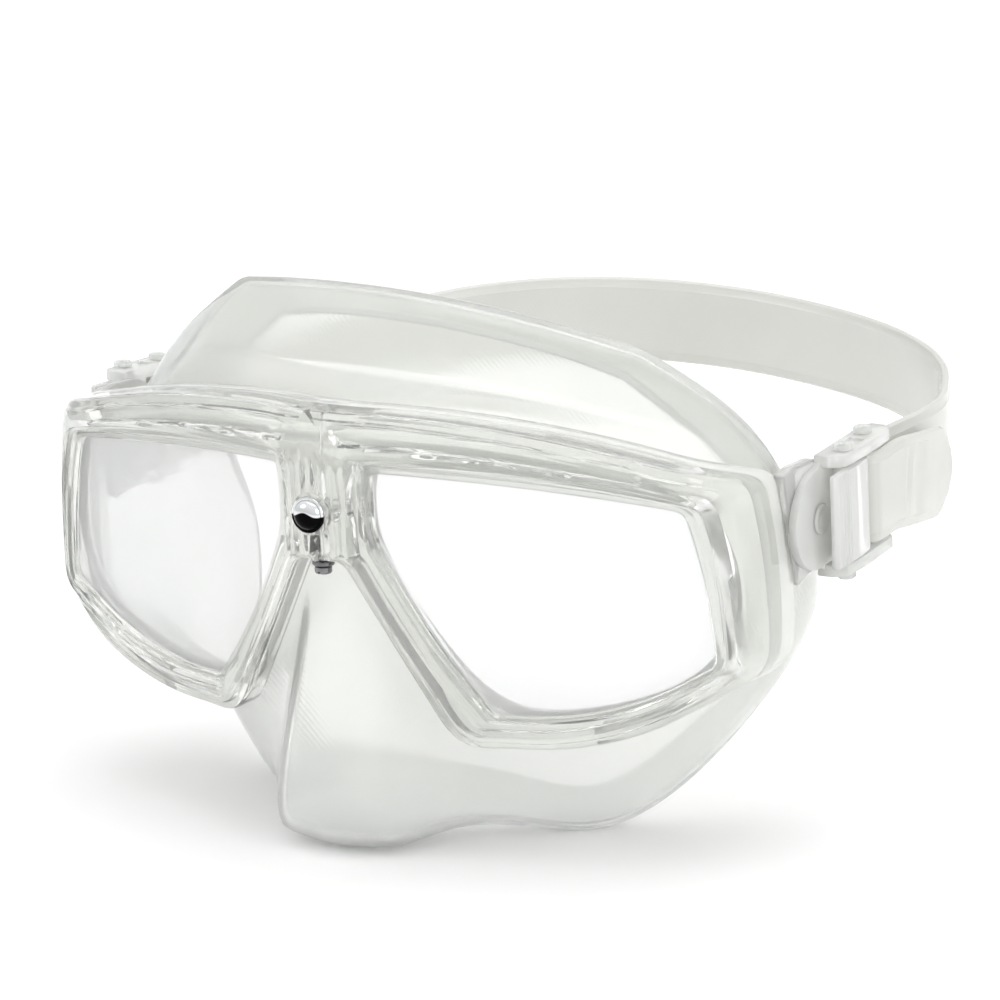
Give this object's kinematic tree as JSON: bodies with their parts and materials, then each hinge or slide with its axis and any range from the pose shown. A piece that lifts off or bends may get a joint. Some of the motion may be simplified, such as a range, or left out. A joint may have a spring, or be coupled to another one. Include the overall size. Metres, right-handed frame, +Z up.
{
  "type": "diving mask",
  "caption": "Two-lens diving mask with clear frame, soft skirt with nose pocket, swivelling quick-adjust buckles and a head strap.",
  "frame": {"origin": "centre of the mask's box, on the surface that it stands on", "axes": "+Z up, +X to the wearer's left, -Y the way the wearer looks"},
  "size_m": [0.1839, 0.1908, 0.1102],
  "materials": {
    "clear_frame": "polished clear polycarbonate",
    "clear_rear_frame": "clear polycarbonate",
    "lens_glass": "flat tempered glass",
    "clear_silicone": "translucent clear silicone, satin",
    "strap_silicone": "translucent grey silicone, satin",
    "polished_steel": "polished stainless steel",
    "screw_steel": "stainless steel, turned",
    "clear_pin": "clear acetal, moulded",
    "clear_buckle": "clear moulded plastic",
    "clear_lever": "clear moulded plastic"
  },
  "bodies": {
    "mask": {"frame_front": "clear_frame", "frame_rear": "clear_rear_frame", "lens_left": "lens_glass", "lens_right": "lens_glass", "skirt": "clear_silicone", "bridge_button": "polished_steel", "clamp_screw": "screw_steel", "clamp_washer": "screw_steel", "swivel_pin_left": "clear_pin", "swivel_pin_right": "clear_pin"},
    "strap_set": {"strap": "strap_silicone", "buckle_body_left": "clear_buckle", "buckle_body_right": "clear_buckle", "roller_pin_left": "clear_pin", "roller_pin_right": "clear_pin", "lever_pin_left": "clear_pin", "lever_pin_right": "clear_pin"},
    "roller_left": {"strap_roller_left": "clear_pin"},
    "roller_right": {"strap_roller_right": "clear_pin"},
    "lever_left": {"release_lever_left": "clear_lever"},
    "lever_right": {"release_lever_right": "clear_lever"}
  },
  "joints": [
    {"name": "strap_swing", "type": "hinge", "parent": "mask", "child": "strap_set", "pos_m": [0, -0.03665, 0.0703], "axis": [1, 0, 0], "range_deg": [-40, 90]},
    {"name": "roller_turn_left", "type": "hinge", "parent": "strap_set", "child": "roller_left", "pos_m": [0.0872, -0.01815, 0.07224], "axis": [0, -0.1045, 0.9945], "continuous": true},
    {"name": "roller_turn_right", "type": "hinge", "parent": "strap_set", "child": "roller_right", "pos_m": [-0.0872, -0.01805, 0.06997], "axis": [0, 0.0175, 0.9998], "continuous": true},
    {"name": "lever_press_left", "type": "hinge", "parent": "strap_set", "child": "lever_left", "pos_m": [0.0884, -0.02989, 0.07101], "axis": [0, 0.1045, -0.9945], "range_deg": [0, 10], "stiffness_Nm_per_rad": 0.05, "springref_deg": -5.73},
    {"name": "lever_press_right", "type": "hinge", "parent": "strap_set", "child": "lever_right", "pos_m": [-0.0884, -0.02985, 0.07018], "axis": [0, 0.0175, 0.9998], "range_deg": [0, 10], "stiffness_Nm_per_rad": 0.05, "springref_deg": -5.73}
  ]
}
